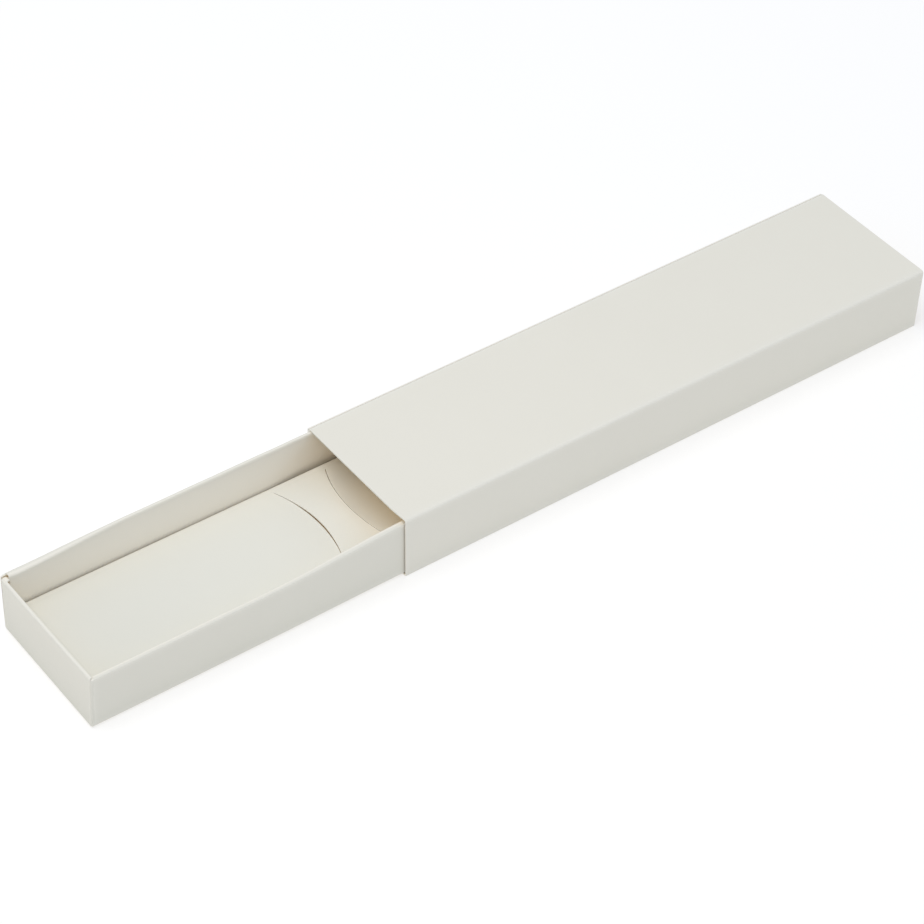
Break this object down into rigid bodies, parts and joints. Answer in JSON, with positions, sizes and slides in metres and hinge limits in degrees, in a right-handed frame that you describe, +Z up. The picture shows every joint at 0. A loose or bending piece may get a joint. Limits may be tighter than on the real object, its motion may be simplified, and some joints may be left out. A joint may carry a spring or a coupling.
{
  "type": "sliding drawer gift box",
  "caption": "Long white board gift box: open-ended sleeve, sliding tray with rolled double walls, and a raised card with a slit retaining band.",
  "frame": {"origin": "centre of the flat underside of the sleeve, which stands on the table", "axes": "+X along the slide, away from the end that the drawer stands out of; +Y across, towards the far side; +Z up"},
  "size_m": [0.313, 0.05, 0.0232],
  "materials": {
    "sleeve_board": "matt off-white uncoated board",
    "tray_board": "matt off-white uncoated board",
    "platform_board": "matt off-white uncoated board"
  },
  "bodies": {
    "sleeve": {"sleeve_top": "sleeve_board", "sleeve_near_side": "sleeve_board", "sleeve_base": "sleeve_board", "sleeve_far_side": "sleeve_board", "sleeve_glue_flap": "sleeve_board"},
    "drawer": {"tray_base": "tray_board", "tray_near_wall": "tray_board", "tray_near_lining": "tray_board", "tray_near_floor_flap": "tray_board", "tray_far_wall": "tray_board", "tray_far_lining": "tray_board", "tray_far_floor_flap": "tray_board", "tray_left_end": "tray_board", "tray_left_lining": "tray_board", "tray_left_floor_flap": "tray_board", "tray_right_end": "tray_board", "tray_right_lining": "tray_board", "tray_right_floor_flap": "tray_board", "near_left_corner_tab": "tray_board", "far_left_corner_tab": "tray_board", "near_right_corner_tab": "tray_board", "far_right_corner_tab": "tray_board", "platform_deck": "platform_board", "platform_near_leg": "platform_board", "platform_far_leg": "platform_board", "platform_left_leg": "platform_board", "platform_right_leg": "platform_board"}
  },
  "joints": [
    {"name": "drawer_slide", "type": "slide", "parent": "sleeve", "child": "drawer", "axis": [-1, 0, 0], "range_m": [-0.308, 0.091]}
  ]
}
